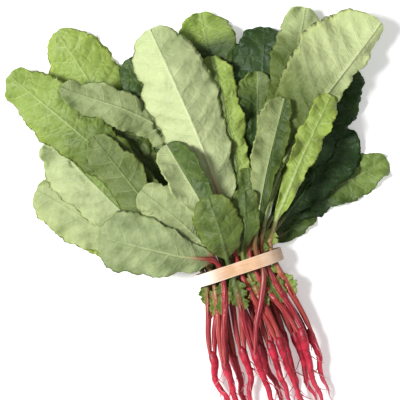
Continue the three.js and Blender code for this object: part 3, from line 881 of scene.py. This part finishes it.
class Nodes:
    """A material's node tree, with short calls for the nodes that it is made of."""

    def __init__(self, name):
        self.material = bpy.data.materials.new(name)
        self.material.use_nodes = True
        self.tree = self.material.node_tree
        self.shader = self.tree.nodes["Principled BSDF"]

    def link(self, value, socket):
        if isinstance(value, bpy.types.NodeSocket):
            self.tree.links.new(value, socket)
        elif isinstance(value, tuple) and len(value) == 3 and socket.type == "RGBA":
            socket.default_value = (*value, 1)
        else:
            socket.default_value = value

    def finished(self, inputs):
        """Gives the shader its inputs by name and hands back the material."""
        for name, value in inputs.items():
            self.link(value, self.shader.inputs[name])
        return self.material

    def object_place(self):
        return self.tree.nodes.new("ShaderNodeTexCoord").outputs["Object"]

    def attribute(self, name):
        node = self.tree.nodes.new("ShaderNodeAttribute")
        node.attribute_name = name
        split = self.tree.nodes.new("ShaderNodeSeparateXYZ")
        self.link(node.outputs["Vector"], split.inputs[0])
        return split.outputs

    def math(self, operation, *values):
        node = self.tree.nodes.new("ShaderNodeMath")
        node.operation = operation
        for value, socket in zip(values, node.inputs):
            self.link(value, socket)
        return node.outputs[0]

    def times(self, first, second):
        return self.math("MULTIPLY", first, second)

    def spread(self, value, low, high, out_low=0.0, out_high=1.0):
        """out_low at low, out_high at high and smooth between them."""
        node = self.tree.nodes.new("ShaderNodeMapRange")
        node.interpolation_type = "SMOOTHSTEP"
        for item, socket in zip((value, low, high, out_low, out_high), node.inputs):
            self.link(item, socket)
        return node.outputs[0]

    def vector(self, x, y, z):
        node = self.tree.nodes.new("ShaderNodeCombineXYZ")
        for value, socket in zip((x, y, z), node.inputs):
            self.link(value, socket)
        return node.outputs[0]

    def noise(self, place, scale, detail=3.0, roughness=0.55):
        node = self.tree.nodes.new("ShaderNodeTexNoise")
        self.link(place, node.inputs["Vector"])
        self.link(scale, node.inputs["Scale"])
        self.link(detail, node.inputs["Detail"])
        self.link(roughness, node.inputs["Roughness"])
        return node.outputs["Fac"]

    def cells(self, place, scale):
        """Distance to the nearest border between cells."""
        node = self.tree.nodes.new("ShaderNodeTexVoronoi")
        node.feature = "DISTANCE_TO_EDGE"
        self.link(place, node.inputs["Vector"])
        self.link(scale, node.inputs["Scale"])
        return node.outputs["Distance"]

    def mix(self, share, first, second):
        node = self.tree.nodes.new("ShaderNodeMix")
        node.data_type = "RGBA"
        self.link(share, node.inputs["Factor"])
        self.link(first, node.inputs[6])
        self.link(second, node.inputs[7])
        return node.outputs[2]

    def bump(self, height, distance, strength):
        node = self.tree.nodes.new("ShaderNodeBump")
        self.link(strength, node.inputs["Strength"])
        self.link(distance, node.inputs["Distance"])
        self.link(height, node.inputs["Height"])
        return node.outputs["Normal"]


# Each face's dark and light colours are its painted shade and its painted light, and dark_vein and
# light_vein the same for its veins.
UPPER_FACE = dict(
    dark=(0.014, 0.04, 0.008), light=(0.2, 0.29, 0.055),
    dark_vein=(0.06, 0.11, 0.03), light_vein=(0.42, 0.5, 0.2),
    yellow=(0.36, 0.43, 0.05), roughness=0.5, relief=0.7, groove=0.15,
)
UNDER_FACE = dict(
    dark=(0.05, 0.085, 0.013), light=(0.47, 0.54, 0.272),
    dark_vein=(0.22, 0.28, 0.1), light_vein=(0.6, 0.67, 0.37),
    yellow=(0.42, 0.48, 0.1), roughness=0.6, relief=0.38, groove=0.3,
)
STALK_RED, STALK_BROWN, STALK_PINK_AND_HIGHLIGHT = (0.22, 0.005, 0.018), (0.31, 0.04, 0.03), (0.66, 0.17, 0.16)
ROOT_DEEP, ROOT_BRIGHT, ROOT_STREAK = (0.33, 0.006, 0.022), (0.62, 0.022, 0.06), (0.8, 0.2, 0.22)
CROWN_COLOUR, TAIL_COLOUR = (0.16, 0.006, 0.014), (0.78, 0.13, 0.22)
ROOTLET_COLOUR = (0.5, 0.26, 0.24)
BAND_TAN, BAND_LINE, BAND_CLOUD = (0.5, 0.24, 0.11), (0.8, 0.54, 0.33), (0.86, 0.66, 0.47)
BAND_EDGE, BAND_PAINTED_HIGHLIGHT, BAND_PAINTED_SHADE = (0.86, 0.7, 0.52), (0.93, 0.87, 0.8), (0.42, 0.36, 0.3)
TABLE_PALE, TABLE_PALEST = (0.9, 0.9, 0.9), (0.94, 0.94, 0.94)
TABLE_GLOW = 0.3


def stalk_colour(n, tone_and_painted_light, across, along):
    """Red skin with pink streaks along it, partly the skin's own and partly painted highlights,
    browner on some stalks.
    """
    place = n.vector(n.times(across, 14.0), n.times(along, 0.8), 0.0)
    lines = n.noise(place, 1.0)
    deep = n.mix(n.spread(tone_and_painted_light, -0.6, 0.05), STALK_RED, STALK_BROWN)
    # The pink streaks are partly the skin's own and partly painted highlights.
    return n.mix(n.spread(lines, 0.42, 0.8), deep, STALK_PINK_AND_HIGHLIGHT)


def leaf_material(name, face):
    """A leaf's face: its green with painted light and shade, side veins, net of small veins, midrib
    and red stalk.
    """
    n = Nodes(name)
    turn, across, along = n.attribute("leaf_lay")
    red, tone_and_painted_light, yellowing = n.attribute("leaf_colour_and_shade")
    length_share, edge, opened = n.attribute("leaf_span")
    place = n.vector(across, along, tone_and_painted_light)

    off_vein = n.math("ABSOLUTE", n.math("SUBTRACT", turn, n.math("ROUND", turn)))
    side = n.math("ABSOLUTE", across)
    vein_width = n.spread(side, 0.0, 2.2, 0.05, 0.018)
    veins = n.spread(n.math("DIVIDE", off_vein, vein_width), 0.35, 1.0, 1.0, 0.0)
    bent = n.noise(place, 3.0, 2.0)
    wandering = n.vector(n.math("ADD", across, n.times(bent, 0.25)), along, tone_and_painted_light)
    net = n.spread(n.cells(wandering, 2.6), 0.0, 0.1, 1.0, 0.0)
    fine_net = n.spread(n.cells(place, 8.0), 0.0, 0.2, 1.0, 0.0)
    thin = n.spread(length_share, 0.4, 1.0, 1.0, 0.35)
    rib = n.spread(n.math("DIVIDE", side, thin), 0.05, 0.11, 1.0, 0.0)
    rib = n.times(rib, n.spread(length_share, 0.8, 1.0, 1.0, 0.3))

    # Painted light and shade: the leaf's tone and painted light, with random mottling, takes the
    # blade and its veins from the face's dark colour to its light one.
    mottle = n.noise(place, 1.1, 4.0)
    shade = n.math("ADD", n.times(tone_and_painted_light, 0.5), n.times(mottle, 0.5))
    lit = n.spread(shade, -0.3, 0.65)
    vein = n.mix(lit, face["dark_vein"], face["light_vein"])
    blade = n.mix(lit, face["dark"], face["light"])
    blade = n.mix(n.times(yellowing, 0.8), blade, face["yellow"])
    # A yellow rim along the margins, as strong as the painted light there.
    blade = n.mix(n.times(n.spread(edge, 0.86, 1.0, 0.0, 0.25), lit), blade, face["yellow"])
    for lines, strength in ((fine_net, 0.1), (net, 0.16), (veins, 0.42), (rib, 0.8)):
        blade = n.mix(n.times(lines, strength), blade, vein)
    stalk = stalk_colour(n, tone_and_painted_light, across, along)

    puffed = n.times(n.spread(n.cells(place, 2.1), 0.0, 0.35), face["relief"])
    grain = n.times(n.noise(place, 18.0, 2.0), 0.25)
    ridges = n.times(veins, -face["groove"])
    height = n.times(n.math("ADD", n.math("ADD", puffed, grain), ridges), opened)
    smoothest, dullest = face["roughness"] - 0.06, face["roughness"] + 0.08
    dull = n.spread(mottle, 0.3, 0.7, smoothest, dullest)
    return n.finished({
        "Base Color": n.mix(n.spread(red, 0.08, 0.75), blade, stalk),
        "Normal": n.bump(height, 0.6 * MM, 0.9),
        "Roughness": n.spread(red, 0.0, 0.6, dull, 0.28),
        "Specular IOR Level": 0.28,
        "Subsurface Weight": 0.12,
        "Subsurface Radius": (0.4, 1.0, 0.2),
        "Subsurface Scale": 1.2 * MM,
    })


def root_material():
    """Washed crimson skin, paler towards the tail, with fine rings round it."""
    n = Nodes("root_skin")
    along, _, _ = n.attribute("root_marks")
    place = n.object_place()
    stretched = n.tree.nodes.new("ShaderNodeMapping")
    n.link(place, stretched.inputs["Vector"])
    n.link((1.0, 0.25, 1.0), stretched.inputs["Scale"])
    streaks = n.noise(stretched.outputs[0], 900.0, 4.0)
    blotches = n.noise(place, 160.0, 3.0)
    skin = n.mix(n.spread(blotches, 0.35, 0.7), ROOT_DEEP, ROOT_BRIGHT)
    skin = n.mix(n.times(n.spread(streaks, 0.55, 0.8), 0.35), skin, ROOT_STREAK)
    skin = n.mix(n.spread(along, 0.0, 0.2, 0.55, 0.0), skin, CROWN_COLOUR)
    skin = n.mix(n.spread(along, 0.4, 1.1, 0.0, 0.5), skin, TAIL_COLOUR)
    skin = n.mix(n.spread(along, 1.05, 1.7), skin, ROOTLET_COLOUR)
    rings = n.tree.nodes.new("ShaderNodeTexWave")
    rings.bands_direction = "Y"
    n.link(place, rings.inputs["Vector"])
    n.link(420.0, rings.inputs["Scale"])
    n.link(5.0, rings.inputs["Distortion"])
    n.link(3.0, rings.inputs["Detail"])
    height = n.math("ADD", n.times(rings.outputs["Fac"], 0.25), streaks)
    return n.finished({
        "Base Color": skin,
        "Normal": n.bump(height, 0.3 * MM, 0.6),
        "Roughness": n.spread(streaks, 0.3, 0.7, 0.3, 0.48),
        "Subsurface Weight": 0.15,
        "Subsurface Radius": (1.0, 0.25, 0.2),
        "Subsurface Scale": 1.5 * MM,
    })


def band_material():
    """Tan rubber with faint lines and pale edges, a painted highlight at its left end and painted
    shade at its right.
    """
    n = Nodes("band_rubber")
    along, over, _ = n.attribute("band_marks")
    place = n.vector(n.times(along, 0.3), n.times(over, 14.0), 0.0)
    lines = n.noise(place, 1.6, 5.0, 0.7)
    cloud = n.noise(n.vector(along, over, 1.0), 1.3, 2.0)
    off_middle = n.math("ABSOLUTE", over)
    rubber = n.mix(n.spread(lines, 0.3, 0.72), BAND_TAN, BAND_LINE)
    rubber = n.mix(n.spread(cloud, 0.4, 0.75, 0.0, 0.35), rubber, BAND_CLOUD)
    rubber = n.mix(n.spread(off_middle, 0.3, 0.4, 0.0, 0.5), rubber, BAND_EDGE)
    # A painted highlight at the band's left end and painted shade at its right end.
    rubber = n.mix(n.spread(along, 9.2, 11.2, 0.0, 0.75), rubber, BAND_PAINTED_HIGHLIGHT)
    rubber = n.mix(n.spread(along, 6.6, 7.9, 0.45, 0.0), rubber, BAND_PAINTED_SHADE)
    return n.finished({
        "Base Color": rubber,
        "Normal": n.bump(lines, 0.3 * MM, 0.5),
        "Roughness": n.spread(lines, 0.3, 0.7, 0.5, 0.62),
        "Subsurface Weight": 0.1,
        "Subsurface Scale": 1.0 * MM,
    })


def table_material():
    """A pale matt ground that glows a little, which keeps the shadows on it light."""
    n = Nodes("pale_table")
    cloud = n.noise(n.object_place(), 14.0, 3.0)
    return n.finished({
        "Base Color": n.mix(cloud, TABLE_PALE, TABLE_PALEST),
        "Roughness": 0.8,
        "Specular IOR Level": 0.1,
        "Emission Color": (1.0, 1.0, 1.0),
        "Emission Strength": TABLE_GLOW,
    })


# ---- Camera, light and table, in metres --------------------------------------------------

VIEW_WIDTH = 0.250  # of the table that the camera sees
LENS, SENSOR = 120.0, 36.0
TURN = math.radians(18.5)  # the bunch leans this far to the left in the view
VIEW_OFFSET = (-0.0206, 0.0137)  # from the middle of the CAD box to the middle of the view
KEY_LAMP = dict(where=(-0.7, 0.35, 1.05), size=0.34, power=22.0)
FILL_LAMP = dict(where=(0.3, -0.5, 1.3), size=1.2, power=2.0)
LAMPS_AIM = (0.0, 0.05, 0.02)
ROOM_LIGHT = 0.32
TABLE_HALF = 3.0


def add_camera():
    low, high = CAD_BOX
    camera = bpy.data.cameras.new("camera")
    camera.lens = LENS
    camera.sensor_width = SENSOR
    camera.clip_start = 0.01
    holder = bpy.data.objects.new("camera", camera)
    distance = VIEW_WIDTH * LENS / SENSOR
    holder.location = (
        (low.x + high.x) / 2 + VIEW_OFFSET[0],
        (low.y + high.y) / 2 + VIEW_OFFSET[1],
        (low.z + high.z) / 2 + distance,
    )
    holder.rotation_euler = (0, 0, -TURN)
    bpy.context.scene.collection.objects.link(holder)
    bpy.context.scene.camera = holder


def add_lamp(name, where, size, power):
    light = bpy.data.lights.new(name, "AREA")
    light.shape = "DISK"
    light.size = size
    light.energy = power
    lamp = bpy.data.objects.new(name, light)
    lamp.location = where
    way = Vector(LAMPS_AIM) - Vector(where)
    lamp.rotation_euler = way.to_track_quat("-Z", "Y").to_euler()
    bpy.context.scene.collection.objects.link(lamp)


def add_lights():
    add_lamp("key", **KEY_LAMP)
    add_lamp("fill", **FILL_LAMP)
    world = bpy.data.worlds.new("soft_room")
    world.use_nodes = True
    background = world.node_tree.nodes["Background"]
    background.inputs["Color"].default_value = (1, 1, 1, 1)
    background.inputs["Strength"].default_value = ROOM_LIGHT
    bpy.context.scene.world = world
    bpy.context.scene.view_settings.view_transform = "Standard"


def add_table():
    signs = np.array([[-1, -1, 0], [1, -1, 0], [1, 1, 0], [-1, 1, 0]])
    corners = TABLE_HALF * signs / MM
    floor = build_mesh("table", corners, [[0, 1, 2, 3]], [table_material()])


# ---- Everything --------------------------------------------------------------------------


def main():
    add_camera()
    add_lights()
    add_table()
    leaf_faces = (
        leaf_material("leaf_upper", UPPER_FACE),
        leaf_material("leaf_under", UNDER_FACE),
    )
    leaves = [leaf_surface(node, look, i) for i, (node, look) in enumerate(LEAF_LOOKS.items())]
    press_under(leaves)
    for leaf in leaves:
        leaf_piece(leaf, leaf_faces)
    skin = root_material()
    for i, node in enumerate(sorted(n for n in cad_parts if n.endswith("_root"))):
        root_piece(node, skin, i)
    band_piece(band_material())


main()
